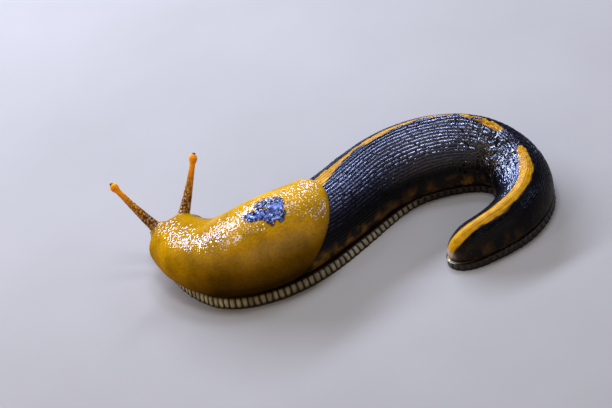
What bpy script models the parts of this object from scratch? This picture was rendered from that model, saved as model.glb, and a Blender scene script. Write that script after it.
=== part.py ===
"""A life-size banana slug at rest, its head turned aside and its tail curled round.

The animal lies on its flat sole at z = 0. Its shape is given by a middle line seen from
above, by the width and height of the trunk along that line, and by what sits on the trunk:
the mantle, the fringed foot, two pairs of tentacles and the eyes at the tips of the upper pair.
Distances called "along" are measured on the middle line from the snout towards the tail.
"""

import math

import bmesh
import bpy
from mathutils import Vector

MM = 0.001

# Whole animal, in metres
LENGTH = 156.5 * MM
GAP = 0.3 * MM

# The middle line seen from above: where the snout is, which way the body runs from it, and
# the bends on the way to the tail as (turn in degrees, middle of the bend, length of the bend)
SNOUT_AT = (-44.0 * MM, 20.3 * MM)
SNOUT_HEADING = -86.5
NECK_BEND = (118.0, 26 * MM, 64 * MM)
BACK_BEND = (-48.0, 82 * MM, 34 * MM)
TAIL_CURL = (-151.5, 121.5 * MM, 55 * MM)
LINE_STEP = 0.25 * MM

# Trunk without mantle or foot: (along, half width, height of the crest above the ground)
TRUNK_SIZES = (
    (0 * MM, 7.2 * MM, 12.0 * MM),
    (10 * MM, 7.4 * MM, 13.4 * MM),
    (20 * MM, 9.3 * MM, 15.4 * MM),
    (28 * MM, 10.9 * MM, 18.2 * MM),
    (36 * MM, 10.9 * MM, 20.6 * MM),
    (44 * MM, 10.5 * MM, 21.0 * MM),
    (56 * MM, 9.8 * MM, 19.0 * MM),
    (80 * MM, 9.4 * MM, 19.9 * MM),
    (100 * MM, 8.2 * MM, 19.8 * MM),
    (120 * MM, 6.2 * MM, 14.5 * MM),
    (138 * MM, 6.4 * MM, 11.9 * MM),
    (152 * MM, 5.9 * MM, 9.8 * MM),
)
SNOUT_ROUNDING = 7 * MM
SNOUT_TIP_HEIGHT = 6.6 * MM
CHIN_RISE = 1.6 * MM
CHIN_LENGTH = 3.5 * MM
TAIL_ROUNDING = 9 * MM
TAIL_BLUNTNESS = 2.2
TAIL_TIP_SHARE = 0.35

# Cross section of the trunk: round in front and keeled behind. How far up it is widest is given
# as (along, share of its height), and the left flank bulges on the inner side of the tail's curl
WIDEST_SHARES = ((0 * MM, 0.45), (14 * MM, 0.42), (36 * MM, 0.24), (50 * MM, 0.22), (156 * MM, 0.22))
UNDERCUT_ANGLE = 30.0
CURL_BULGE = 3.6 * MM
CURL_BULGE_AT = 122 * MM
CURL_BULGE_REACH = 12 * MM
SIDE_POWER_FRONT = 2.2
SIDE_POWER_KEELED = 1.7
KEEL_FROM = 56 * MM
KEEL_FULL = 106 * MM
KEEL_RIDGE = 0.5 * MM
KEEL_RIDGE_WIDTH = 1.2 * MM
KEEL_LEAN = 1.3 * MM
KEEL_LEAN_FROM = 118 * MM
KEEL_LEAN_FULL = 134 * MM

# Wrinkles running lengthwise on the back behind the mantle
WRINKLE_DEPTH = 0.3 * MM
WRINKLE_END = 154 * MM

# Where the trunk is divided into lengths
HEAD_END = 12 * MM
NECK_END = 34 * MM
FRONT_END = 60.5 * MM
MIDDLE_END = 88 * MM
REAR_END = 112 * MM
TAIL_BASE_END = 134 * MM

# Mantle: a thick cape over head, neck and front body, its back edge rounded like a shield
MANTLE_FRONT = 6.3 * MM
MANTLE_BROW = 0.8 * MM
MANTLE_BACK = 56.2 * MM
MANTLE_BACK_CURVE = 14 * MM
MANTLE_THICK = 1.3 * MM
MANTLE_HEM_HEIGHT = 4.3 * MM
MANTLE_BROW_LENGTH = 4 * MM
MANTLE_BROW_RISE = 1.5 * MM
HEM_TAPER = (0.45, 0.8)

# Breathing pore in the right side of the mantle
PORE_ALONG = 38 * MM
PORE_ANGLE = 156.0
PORE_RADIUS = 1.5 * MM
PORE_RIM = 0.55 * MM

# Foot: a flat sole with a fringe of upright folds round it, lower and tucked in behind.
# Its width is given as shares of the trunk's, as (along, share)
FOOT_HEIGHT = 2.8 * MM
FOOT_TAIL_HEIGHT = 1.9 * MM
FOOT_THIN_FROM = 34 * MM
FOOT_THIN_FULL = 74 * MM
FOOT_SHARES = (
    (0 * MM, 0.84),
    (14 * MM, 0.87),
    (26 * MM, 1.04),
    (36 * MM, 1.05),
    (56 * MM, 1.08),
    (70 * MM, 1.03),
    (86 * MM, 0.93),
    (157 * MM, 0.94),
)
FOOT_EDGE = 0.15 * MM
FOOT_TIP_HALF_WIDTH = 1.2 * MM
FOOT_FRONT = 1.3 * MM
FOOT_FRONT_ROUNDING = 7 * MM
FOOT_TAIL_OVERHANG = 0.6 * MM
FRINGE_SLOPE = 0.9 * MM
FOLD_PITCH = 1.7 * MM
FOLD_DEPTH = 0.4 * MM
FOOT_CUTS = (30 * MM, 64 * MM, 104 * MM, 130 * MM)

# Upper tentacles: (rise above level, turn away from straight ahead), in degrees
TENTACLE_ALONG = 4.2 * MM
TENTACLE_ANGLE = 57.0
TENTACLE_LENGTH = 16.0 * MM
TENTACLE_DIRECTIONS = {"left": (48.0, 34.0), "right": (46.0, -52.0)}
TENTACLE_BASE_RADIUS = 1.65 * MM
TENTACLE_STALK_RADIUS = 0.74 * MM
TENTACLE_BULB_RADIUS = 1.15 * MM
TENTACLE_SAG = 0.5 * MM
TENTACLE_SHARES = (0.0, 0.08, 0.2, 0.35, 0.5, 0.65, 0.78, 0.86, 0.91, 0.95, 0.98, 1.0)
TENTACLE_TAPER_END = 0.85
BULB_AT = 0.945
BULB_REACH = 0.05
BULB_CLOSING = {0.98: 0.92, 1.0: 0.72}
COLLAR_HEIGHT = 1.2 * MM
COLLAR_FLARE = 0.22 * MM
EYE_RADIUS = 0.6 * MM
EYE_DOME = ((0.0, 0.95), (0.25, 0.9), (0.5, 0.65), (0.65, 0.3))

# Face: an upright mouth between two lips, and a furrow up the brow
MOUTH_HEIGHT = 5.6 * MM
MOUTH_LENGTH = 1.5 * MM
MOUTH_WIDTH = 0.55 * MM
MOUTH_DEPTH = 1.1 * MM
LIP_APART = 1.7 * MM
LIP_WIDTH = 1.2 * MM
LIP_LENGTH = 1.7 * MM
LIP_RISE = 0.7 * MM
FURROW_DEPTH = 0.35 * MM
FURROW_WIDTH = 1.1 * MM

# Lower tentacles, either side of the mouth
FEELER_ALONG = 1.5 * MM
FEELER_ANGLE = 8.0
FEELER_LENGTH = 3.0 * MM
FEELER_DIRECTION = (-16.0, 12.0)
FEELER_RADIUS = 0.85 * MM
FEELER_PROFILE = ((0.0, 1.0), (0.3, 0.85), (0.6, 0.75), (0.8, 0.7), (0.93, 0.56), (1.0, 0.28))

# How finely the surfaces are divided
TRUNK_STEP = 3.0 * MM
NECK_POINTS = 25
BACK_POINTS = 41
MANTLE_POINTS = 29
HEAD_POINTS = 49
TUBE_SIDES = 14

# Skin colours as linear RGB, then roughness
SKIN = {
    "mantle_skin": ((0.42, 0.22, 0.012), 0.28),
    "head_skin": ((0.36, 0.19, 0.02), 0.32),
    "back_skin": ((0.012, 0.010, 0.011), 0.25),
    "foot_skin": ((0.16, 0.13, 0.05), 0.35),
    "tentacle_skin": ((0.40, 0.15, 0.02), 0.32),
    "eye_black": ((0.004, 0.004, 0.004), 0.1),
}


def smooth(t):
    """0 before t = 0, 1 after t = 1, with an even ease between."""
    t = min(max(t, 0.0), 1.0)
    return t * t * (3 - 2 * t)


def hump(distance, width):
    """A rounded hump, 1 in its middle."""
    return math.exp(-((distance / width) ** 2))


def heading(along):
    """Direction of the middle line, in radians from +X."""
    bends = (NECK_BEND, BACK_BEND, TAIL_CURL)
    turned = sum(turn * smooth((along - middle) / span + 0.5) for turn, middle, span in bends)
    return math.radians(SNOUT_HEADING + turned)


def walk_middle_line():
    """Points of the middle line at every LINE_STEP, from the snout past the tail."""
    points = [Vector((*SNOUT_AT, 0.0))]
    for i in range(round(LENGTH / LINE_STEP) + 20):
        way = heading((i + 0.5) * LINE_STEP)
        points.append(points[-1] + LINE_STEP * Vector((math.cos(way), math.sin(way), 0.0)))
    return points


MIDDLE_LINE = walk_middle_line()


def place(along, left, up):
    """The point that far along the middle line, that far to the animal's left and that high."""
    i = min(int(max(along, 0.0) / LINE_STEP), len(MIDDLE_LINE) - 2)
    share = along / LINE_STEP - i
    on_line = MIDDLE_LINE[i].lerp(MIDDLE_LINE[i + 1], share)
    way = heading(along)
    return on_line + Vector((math.sin(way) * left, -math.cos(way) * left, up))


def through(table, along, column):
    """A smooth curve through one column of a table of sizes."""
    i = max(k for k in range(len(table) - 1) if k == 0 or table[k][0] <= along)
    span = table[i + 1][0] - table[i][0]
    t = (along - table[i][0]) / span

    def slope(k):
        before, after = table[max(k - 1, 0)], table[min(k + 1, len(table) - 1)]
        return (after[column] - before[column]) / (after[0] - before[0])

    start, end = table[i][column], table[i + 1][column]
    return (
        (2 * t**3 - 3 * t**2 + 1) * start
        + (t**3 - 2 * t**2 + t) * span * slope(i)
        + (3 * t**2 - 2 * t**3) * end
        + (t**3 - t**2) * span * slope(i + 1)
    )


def end_rounding(along):
    """From 0 at the snout's front or the tail's end to 1 where the trunk has its full size."""
    front = min(along / SNOUT_ROUNDING, 1.0)
    behind = min(max((along - (LENGTH - TAIL_ROUNDING)) / TAIL_ROUNDING, 0.0), 1.0)
    return math.sqrt(max(1 - (1 - front) ** 2, 0.0)), math.sqrt(max(1 - behind**TAIL_BLUNTNESS, 0.0))


def curl_bulge(along):
    """How much further out the left flank lies on the inner side of the tail's curl."""
    return CURL_BULGE * hump(along - CURL_BULGE_AT, CURL_BULGE_REACH)


def half_width(along):
    snout, tail = end_rounding(along)
    return max(through(TRUNK_SIZES, along, 1) * snout * tail, 0.25 * MM)


def crest_height(along):
    snout, tail = end_rounding(along)
    full = through(TRUNK_SIZES, along, 2)
    full = SNOUT_TIP_HEIGHT + (full - SNOUT_TIP_HEIGHT) * snout
    return full * (TAIL_TIP_SHARE + (1 - TAIL_TIP_SHARE) * tail)


def foot_height(along):
    thin = smooth((along - FOOT_THIN_FROM) / (FOOT_THIN_FULL - FOOT_THIN_FROM))
    return FOOT_HEIGHT + (FOOT_TAIL_HEIGHT - FOOT_HEIGHT) * thin


def trunk_base(along):
    """Height of the trunk's flat underside, which curves up under the chin."""
    chin = max(1 - along / CHIN_LENGTH, 0.0)
    return foot_height(along) + GAP + CHIN_RISE * chin**2


def trunk_outline(along, angle):
    """(left, up) of the trunk's surface. The angle is 0 on the left, 90 at the crest and 180 on
    the right."""
    across, rise = math.cos(math.radians(angle)), math.sin(math.radians(angle))
    half, crest, base = half_width(along), crest_height(along), trunk_base(along)
    half += curl_bulge(along) if across > 0 else 0.0
    widest = base + through(WIDEST_SHARES, along, 1) * (crest - base)
    if rise < 0:
        return half * across, widest + (widest - base) * rise / math.sin(math.radians(UNDERCUT_ANGLE))
    keeled = smooth((along - KEEL_FROM) / (KEEL_FULL - KEEL_FROM))
    power = SIDE_POWER_FRONT + (SIDE_POWER_KEELED - SIDE_POWER_FRONT) * keeled
    left = half * math.copysign(abs(across) ** (2 / power), across)
    tail = end_rounding(along)[1]
    ridge = KEEL_RIDGE * keeled * hump(left, KEEL_RIDGE_WIDTH) * tail
    lean = KEEL_LEAN * tail * smooth((along - KEEL_LEAN_FROM) / (KEEL_LEAN_FULL - KEEL_LEAN_FROM))
    return left - lean * rise**2, widest + (crest - widest) * rise + ridge


def outline_offset(along, angle, distance):
    """The trunk's outline moved outwards by a distance, in the plane of the section."""
    left, up = trunk_outline(along, angle)
    before, after = trunk_outline(along, angle - 1), trunk_outline(along, angle + 1)
    run, climb = after[0] - before[0], after[1] - before[1]
    length = math.hypot(run, climb)
    return left + distance * climb / length, up - distance * run / length


def angle_at_height(along, height):
    """The angle on the left side at which the trunk's outline is that high."""
    low, high = -UNDERCUT_ANGLE, 90.0
    for _ in range(30):
        middle = (low + high) / 2
        if trunk_outline(along, middle)[1] < height:
            low = middle
        else:
            high = middle
    return low


def spread(start, end, count):
    """Evenly spaced numbers, both ends included."""
    return [start + (end - start) * i / (count - 1) for i in range(count)]


def stations(start, end, step):
    return spread(start, end, max(round((end - start) / step), 1) + 1)


def closed_loft(name, rings, skin, folded=False):
    """One closed body through rings of points. The end rings are filled from their middles, or,
    where a ring is folded like a horseshoe, by a strip from its outer arm to its inner arm."""
    mesh = bpy.data.meshes.new(name)
    shape = bmesh.new()
    rows = [[shape.verts.new(point) for point in ring] for ring in rings]
    count = len(rows[0])
    for row, following in zip(rows, rows[1:]):
        for k in range(count):
            after = (k + 1) % count
            shape.faces.new((row[k], row[after], following[after], following[k]))
    for row in (rows[0], rows[-1]):
        if folded:
            for k in range(count // 2 - 1):
                shape.faces.new((row[k], row[k + 1], row[count - 2 - k], row[count - 1 - k]))
        else:
            bmesh.ops.poke(shape, faces=[shape.faces.new(row)])
    bmesh.ops.recalc_face_normals(shape, faces=shape.faces)
    shape.to_mesh(mesh)
    shape.free()
    return add_object(name, mesh, skin)


def add_object(name, mesh, skin):
    body = bpy.data.objects.new(name, mesh)
    bpy.context.scene.collection.objects.link(body)
    mesh.materials.append(skin_material(skin))
    mesh.shade_smooth()
    mesh.set_sharp_from_angle(angle=math.radians(50))
    return body


def skin_material(skin):
    if skin in bpy.data.materials:
        return bpy.data.materials[skin]
    colour, roughness = SKIN[skin]
    material = bpy.data.materials.new(skin)
    material.use_nodes = True
    shader = material.node_tree.nodes["Principled BSDF"]
    shader.inputs["Base Color"].default_value = (*colour, 1.0)
    shader.inputs["Roughness"].default_value = roughness
    shader.inputs["Coat Weight"].default_value = 0.5
    return material


def keep_largest_surface(body):
    """Leaves a body's largest closed surface, which fills sealed hollows and drops loose scraps."""
    shape = bmesh.new()
    shape.from_mesh(body.data)
    seen, surfaces = set(), []
    for first in shape.faces:
        if first in seen:
            continue
        seen.add(first)
        surface = [first]
        for face in surface:
            for edge in face.edges:
                for beside in edge.link_faces:
                    if beside not in seen:
                        seen.add(beside)
                        surface.append(beside)
        surfaces.append(surface)
    largest = max(surfaces, key=lambda surface: sum(face.calc_area() for face in surface))
    spare = [face for surface in surfaces if surface is not largest for face in surface]
    bmesh.ops.delete(shape, geom=spare, context="FACES")
    shape.to_mesh(body.data)
    shape.free()


def boolean(body, pieces, operation):
    """Joins closed pieces to a body, or cuts them out of it, and removes the pieces."""
    collection = bpy.data.collections.new("pieces")
    bpy.context.scene.collection.children.link(collection)
    for piece in pieces:
        bpy.context.scene.collection.objects.unlink(piece)
        collection.objects.link(piece)
    modifier = body.modifiers.new(operation, "BOOLEAN")
    modifier.operation = operation
    modifier.operand_type = "COLLECTION"
    modifier.collection = collection
    modifier.solver = "EXACT"
    graph = bpy.context.evaluated_depsgraph_get()
    result = bpy.data.meshes.new_from_object(body.evaluated_get(graph))
    body.modifiers.clear()
    body.data = result
    for piece in pieces:
        bpy.data.objects.remove(piece)
    bpy.data.collections.remove(collection)
    keep_largest_surface(body)


def mantle_back(angle):
    """How far back the mantle reaches at that angle round the body."""
    return MANTLE_BACK - MANTLE_BACK_CURVE * ((angle - 90) / 90) ** 2


def wrinkled(along, angle):
    """How deep the grooves between the back's wrinkles are there: nothing under the mantle."""
    behind_mantle = smooth((along - mantle_back(angle)) / (4 * MM))
    before_tail = smooth((WRINKLE_END - along) / (6 * MM))
    above_foot = smooth((angle + 16) / 14) * smooth((196 - angle) / 14)
    return WRINKLE_DEPTH * behind_mantle * before_tail * above_foot


def trunk_ring(along, count, grooves=False):
    """The arch over the back, then the flat underside. Every second point may lie in a groove."""
    arch = []
    for k, angle in enumerate(spread(-UNDERCUT_ANGLE, 180 + UNDERCUT_ANGLE, count)):
        depth = wrinkled(along, angle) if grooves and k % 2 else 0.0
        arch.append(place(along, *outline_offset(along, angle, -depth)))
    left_edge, base = trunk_outline(along, -UNDERCUT_ANGLE)
    right_edge, base = trunk_outline(along, 180 + UNDERCUT_ANGLE)
    underside = [place(along, left, base) for left in (right_edge / 2, 0.0, left_edge / 2)]
    return arch + underside


def trunk_length(name, start, end, skin, count, grooves=False):
    """A length of the trunk between two flat ends."""
    rings = [trunk_ring(along, count, grooves) for along in stations(start, end, TRUNK_STEP)]
    return closed_loft(name, rings, skin)


def front_of(along):
    """Unit vectors ahead of and to the left of the animal there."""
    way = heading(along)
    return Vector((-math.cos(way), -math.sin(way), 0.0)), Vector((math.sin(way), -math.cos(way), 0.0))


def aim(along, rise, turn):
    """A direction that rises above level and turns to the left of straight ahead, in degrees."""
    ahead, left = front_of(along)
    level = ahead * math.cos(math.radians(turn)) + left * math.sin(math.radians(turn))
    return level * math.cos(math.radians(rise)) + Vector((0, 0, math.sin(math.radians(rise))))


def ring_round(centre, direction, radius, sides):
    """A circle of points round a centre, square to a direction."""
    turn = direction.to_track_quat("Z", "X").to_matrix()
    circle = []
    for k in range(sides):
        around = 2 * math.pi * k / sides
        circle.append(centre + turn @ Vector((radius * math.cos(around), radius * math.sin(around), 0.0)))
    return circle


def tube(name, centres, direction, radii, skin):
    rings = [ring_round(centre, direction, radius, TUBE_SIDES) for centre, radius in zip(centres, radii)]
    return closed_loft(name, rings, skin)


def collar(root, direction, radius):
    """A short swelling of the head round the root of a tentacle, ending in a flat face."""
    centres = [root + direction * reach for reach in (-2.5 * MM, 0.0, COLLAR_HEIGHT)]
    radii = [radius, radius + COLLAR_FLARE, radius]
    return tube("collar", centres, direction, radii, "head_skin")


def tentacle_root(side, angle, along):
    """A point on the head's surface on that side."""
    return place(along, *trunk_outline(along, angle if side == "left" else 180 - angle))


def feeler_direction(side):
    rise, turn = FEELER_DIRECTION
    return aim(FEELER_ALONG, rise, turn if side == "left" else -turn)


def face_relief(left, up):
    """How far the front of the face stands out: two lips with the upright mouth between them."""
    lips = LIP_RISE * hump(abs(left) - LIP_APART, LIP_WIDTH) * hump(up - MOUTH_HEIGHT, LIP_LENGTH)
    mouth = MOUTH_DEPTH * hump(left, MOUTH_WIDTH) * hump(up - MOUTH_HEIGHT, MOUTH_LENGTH)
    return lips - mouth


def brow_furrow(left, up):
    """Depth of the groove that runs from the mouth up between the upper tentacles."""
    return FURROW_DEPTH * hump(left, FURROW_WIDTH) * smooth((up - MOUTH_HEIGHT - 1 * MM) / (3 * MM))


def make_head():
    """The blunt snout with its lips and mouth, and a collar for each tentacle."""
    places = [SNOUT_ROUNDING * (1 - math.cos(math.radians(turn))) for turn in range(6, 91, 6)]
    places += stations(SNOUT_ROUNDING + 1 * MM, HEAD_END, 1.5 * MM)
    head = closed_loft("head", [trunk_ring(along, HEAD_POINTS) for along in places], "head_skin")
    ahead, left = front_of(0.0)
    tip = place(0.0, 0.0, 0.0)
    moves = []
    for vertex in head.data.vertices:
        offset = vertex.co - tip
        aside, behind = offset.dot(left), -offset.dot(ahead)
        forward = 1 - smooth((behind - 1.5 * MM) / (3 * MM))
        within = 1 - smooth((behind - 6 * MM) / (4 * MM))
        move = ahead * (face_relief(aside, vertex.co.z) * forward)
        moves.append(move - vertex.normal * (brow_furrow(aside, vertex.co.z) * within))
    for vertex, move in zip(head.data.vertices, moves):
        vertex.co += move
    collars = []
    for side, direction in TENTACLE_DIRECTIONS.items():
        root = tentacle_root(side, TENTACLE_ANGLE, TENTACLE_ALONG)
        collars.append(collar(root, aim(TENTACLE_ALONG, *direction), TENTACLE_BASE_RADIUS))
        root = tentacle_root(side, FEELER_ANGLE, FEELER_ALONG)
        collars.append(collar(root, feeler_direction(side), FEELER_RADIUS))
    boolean(head, collars, "UNION")


def make_upper_tentacle(side):
    """A tapered stalk that sags a little and ends in a bulb, with the eye on the bulb's flat tip."""
    direction = aim(TENTACLE_ALONG, *TENTACLE_DIRECTIONS[side])
    foot = tentacle_root(side, TENTACLE_ANGLE, TENTACLE_ALONG) + direction * (COLLAR_HEIGHT + GAP)
    centres, radii = [], []
    for share in TENTACLE_SHARES:
        sag = TENTACLE_SAG * math.sin(math.pi * share)
        centres.append(foot + direction * (TENTACLE_LENGTH * share) - Vector((0, 0, sag)))
        flare = max(1 - share / TENTACLE_TAPER_END, 0.0) ** 1.2
        stalk = TENTACLE_STALK_RADIUS + (TENTACLE_BASE_RADIUS - TENTACLE_STALK_RADIUS) * flare
        bulb = (TENTACLE_BULB_RADIUS - TENTACLE_STALK_RADIUS) * hump(share - BULB_AT, BULB_REACH)
        radii.append((stalk + bulb) * BULB_CLOSING.get(share, 1.0))
    tube(f"tentacle_upper_{side}", centres, direction, radii, "tentacle_skin")
    seat = centres[-1] + direction * (GAP * 0.7)
    dome = [seat + direction * (EYE_RADIUS * lift) for lift, _ in EYE_DOME]
    tube(f"eye_{side}", dome, direction, [EYE_RADIUS * size for _, size in EYE_DOME], "eye_black")


def make_lower_tentacle(side):
    """A short blunt feeler beside the mouth."""
    direction = feeler_direction(side)
    foot = tentacle_root(side, FEELER_ANGLE, FEELER_ALONG) + direction * (COLLAR_HEIGHT + GAP)
    centres = [foot + direction * (FEELER_LENGTH * share) for share, _ in FEELER_PROFILE]
    radii = [FEELER_RADIUS * size for _, size in FEELER_PROFILE]
    tube(f"tentacle_lower_{side}", centres, direction, radii, "tentacle_skin")


def hem_angle(along):
    """The angle on the left side of the mantle's free edge, which is lifted at the brow."""
    brow = max(1 - (along - MANTLE_FRONT) / MANTLE_BROW_LENGTH, 0.0)
    return angle_at_height(along, MANTLE_HEM_HEIGHT + MANTLE_BROW_RISE * brow**2)


def mantle_ring(share_back, thickness):
    """A horseshoe section: out over the back and in again underneath. The share is 0 at the front
    edge and 1 at the back edge."""
    outer, inner = [], []
    for k, share in enumerate(spread(0, 1, MANTLE_POINTS)):
        rough_angle = -10 + 200 * share
        front = MANTLE_FRONT - MANTLE_BROW * hump(rough_angle - 90, 20)
        along = front + (mantle_back(rough_angle) - front) * share_back
        start = hem_angle(along)
        angle = start + (180 - 2 * start) * share
        from_hem = min(k, MANTLE_POINTS - 1 - k)
        taper = HEM_TAPER[from_hem] if from_hem < len(HEM_TAPER) else 1.0
        outer.append(place(along, *outline_offset(along, angle, GAP + thickness * taper)))
        inner.append(place(along, *outline_offset(along, angle, GAP)))
    return outer + inner[::-1]


def make_mantle():
    shares = [0.0, 0.01] + spread(0.03, 0.97, 18) + [0.99, 1.0]
    tapers = [HEM_TAPER[0], HEM_TAPER[1]] + [1.0] * (len(shares) - 4) + [HEM_TAPER[1], HEM_TAPER[0]]
    rings = [mantle_ring(share, MANTLE_THICK * taper) for share, taper in zip(shares, tapers)]
    mantle = closed_loft("mantle", rings, "mantle_skin", folded=True)
    outside = place(PORE_ALONG, *outline_offset(PORE_ALONG, PORE_ANGLE, GAP + MANTLE_THICK))
    inside = place(PORE_ALONG, *outline_offset(PORE_ALONG, PORE_ANGLE, -MANTLE_THICK))
    direction = (outside - inside).normalized()
    boolean(mantle, [pore_rim(outside, direction)], "UNION")
    reach = [inside + direction * step for step in (0.0, 2 * (outside - inside).length)]
    boolean(mantle, [tube("pore", reach, direction, [PORE_RADIUS] * 2, "mantle_skin")], "DIFFERENCE")


def pore_rim(centre, direction):
    """A flat swelling round the breathing pore."""
    centres = [centre + direction * (PORE_RIM * lift) for lift in (-1.4, 0.0, 0.75)]
    radii = [PORE_RADIUS + 2.2 * PORE_RIM, PORE_RADIUS + 1.8 * PORE_RIM, PORE_RADIUS + 0.6 * PORE_RIM]
    return tube("rim", centres, direction, radii, "mantle_skin")


def sole_half_width(along):
    front = min(max((along - FOOT_FRONT) / FOOT_FRONT_ROUNDING, 0.0), 1.0)
    tail_end = LENGTH + FOOT_TAIL_OVERHANG
    behind = min(max((along - (tail_end - TAIL_ROUNDING)) / TAIL_ROUNDING, 0.0), 1.0)
    rounding = math.sqrt(max(1 - (1 - front) ** 2, 0.0))
    rounding *= math.sqrt(max(1 - behind**TAIL_BLUNTNESS, 0.0))
    middle = min(max(along, SNOUT_ROUNDING), LENGTH - TAIL_ROUNDING)
    width = half_width(middle) * through(FOOT_SHARES, along, 1) + FOOT_EDGE
    return max(width * rounding, FOOT_TIP_HALF_WIDTH)


def foot_ring(along, groove):
    """The sole's edge, the sloping fringe and the flat top that carries the trunk."""
    half, height = sole_half_width(along), foot_height(along)
    narrow = min(FRINGE_SLOPE, half * 0.4)
    side = (
        (half - 0.3 * groove, 0.0),
        (half + 0.1 * MM - groove, 0.3 * height),
        (half - 0.4 * narrow - groove, 0.8 * height),
        (half - narrow - 0.5 * groove, height),
    )
    left = [place(along, point[0] + 0.9 * curl_bulge(along), point[1]) for point in side]
    right = [place(along, -point[0], point[1]) for point in reversed(side)]
    return left + [place(along, 0.0, height)] + right + [place(along, 0.0, 0.0)]


def make_foot():
    """Five lengths of foot, whose edge is pleated: every second section lies in a groove."""
    names = ("foot_front", "foot_middle", "foot_rear", "foot_curl", "foot_tail")
    starts = (FOOT_FRONT, *(cut + GAP / 2 for cut in FOOT_CUTS))
    ends = (*(cut - GAP / 2 for cut in FOOT_CUTS), LENGTH + FOOT_TAIL_OVERHANG)
    for name, start, end in zip(names, starts, ends):
        folds = round((end - start) / FOLD_PITCH)
        places = spread(start, end, 2 * folds + 1)
        grooves = [0.0 if k % 2 else FOLD_DEPTH for k in range(len(places))]
        closed_loft(name, [foot_ring(along, groove) for along, groove in zip(places, grooves)], "foot_skin")


def make_trunk():
    make_head()
    trunk_length("neck", HEAD_END + GAP, NECK_END, "head_skin", NECK_POINTS)
    trunk_length("body_front", NECK_END + GAP, FRONT_END, "back_skin", BACK_POINTS, grooves=True)
    trunk_length("body_middle", FRONT_END + GAP, MIDDLE_END, "back_skin", BACK_POINTS, grooves=True)
    trunk_length("body_rear", MIDDLE_END + GAP, REAR_END, "back_skin", BACK_POINTS, grooves=True)
    trunk_length("tail_base", REAR_END + GAP, TAIL_BASE_END, "back_skin", BACK_POINTS, grooves=True)
    make_tail_tip()


def make_tail_tip():
    """The last length, with sections close together where its end is rounded off."""
    rounding_from = LENGTH - TAIL_ROUNDING
    places = stations(TAIL_BASE_END + GAP, rounding_from, TRUNK_STEP)
    places += [rounding_from + TAIL_ROUNDING * math.sin(math.radians(turn)) for turn in range(15, 91, 15)]
    rings = [trunk_ring(along, BACK_POINTS, grooves=True) for along in places]
    closed_loft("tail_tip", rings, "back_skin")


def main():
    for item in list(bpy.data.objects):
        bpy.data.objects.remove(item)
    make_trunk()
    make_mantle()
    make_foot()
    for side in TENTACLE_DIRECTIONS:
        make_upper_tentacle(side)
        make_lower_tentacle(side)


main()
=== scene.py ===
"""The looks of a life-size banana slug at rest, its head turned aside and its tail curled round.

The trunk is one wet skin from snout to tail. The mantle lies on it as a thick cape, the foot
with its pleated fringe carries it, and the tentacles and eyes are set on the head. Distances
called "along" are measured on the middle line of the body from the snout towards the tail, and
those called "arc" over the skin from the crest to the left. Angles round the body run from 0 on
its left side over 90 at the crest to 180 on its right.
"""

import bpy
import numpy as np
from mathutils import Matrix, Vector


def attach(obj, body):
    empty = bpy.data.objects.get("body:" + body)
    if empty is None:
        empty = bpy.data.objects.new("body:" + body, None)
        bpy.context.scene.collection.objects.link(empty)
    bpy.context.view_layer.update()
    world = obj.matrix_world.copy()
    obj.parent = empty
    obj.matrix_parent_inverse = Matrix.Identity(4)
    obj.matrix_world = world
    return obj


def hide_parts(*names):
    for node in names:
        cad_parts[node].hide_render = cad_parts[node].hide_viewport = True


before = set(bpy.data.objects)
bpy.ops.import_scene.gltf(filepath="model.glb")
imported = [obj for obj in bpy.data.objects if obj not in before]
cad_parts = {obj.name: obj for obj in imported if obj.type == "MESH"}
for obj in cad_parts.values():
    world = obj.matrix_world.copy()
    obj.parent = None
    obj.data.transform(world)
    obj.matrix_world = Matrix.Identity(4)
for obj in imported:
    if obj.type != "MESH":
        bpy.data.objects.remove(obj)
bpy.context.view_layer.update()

MM = 0.001

# The animal's sizes, the same as the solids have
LENGTH = 156.5 * MM
GAP = 0.3 * MM
SNOUT_AT = (-44.0 * MM, 20.3 * MM)
SNOUT_HEADING = -86.5
# Bends of the middle line from snout to tail: (degrees anticlockwise, middle, length)
BENDS = ((118.0, 26 * MM, 64 * MM), (-48.0, 82 * MM, 34 * MM), (-151.5, 121.5 * MM, 55 * MM))
LINE_STEP = 0.25 * MM
# The trunk, in millimetres: (along, half width, height of the crest)
TRUNK_SIZES = MM * np.array((
    (0, 7.2, 12.0),
    (10, 7.4, 13.4),
    (20, 9.3, 15.4),
    (28, 10.9, 18.2),
    (36, 10.9, 20.6),
    (44, 10.5, 21.0),
    (56, 9.8, 19.0),
    (80, 9.4, 19.9),
    (100, 8.2, 19.8),
    (120, 6.2, 14.5),
    (138, 6.4, 11.9),
    (152, 5.9, 9.8),
))
SNOUT_ROUNDING = 7 * MM
SNOUT_TIP_HEIGHT = 6.6 * MM
CHIN_RISE = 1.6 * MM
CHIN_LENGTH = 3.5 * MM
TAIL_ROUNDING = 9 * MM
TAIL_BLUNTNESS = 2.2
TAIL_TIP_SHARE = 0.35
LEAST_HALF_WIDTH = 0.12 * MM
# Where the trunk is widest: (along, share of its height)
WIDEST_SHARES = ((0 * MM, 0.45), (14 * MM, 0.42), (36 * MM, 0.24), (50 * MM, 0.22), (156 * MM, 0.22))
UNDERCUT_ANGLE = 30.0
CURL_BULGE = 3.6 * MM
CURL_BULGE_AT = 122 * MM
CURL_BULGE_REACH = 12 * MM
SIDE_POWER_FRONT = 2.2
SIDE_POWER_KEELED = 1.7
KEEL_FROM = 56 * MM
KEEL_FULL = 106 * MM
KEEL_RIDGE = 0.5 * MM
KEEL_RIDGE_WIDTH = 1.2 * MM
KEEL_LEAN = 1.3 * MM
KEEL_LEAN_FROM = 118 * MM
KEEL_LEAN_FULL = 134 * MM

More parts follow.
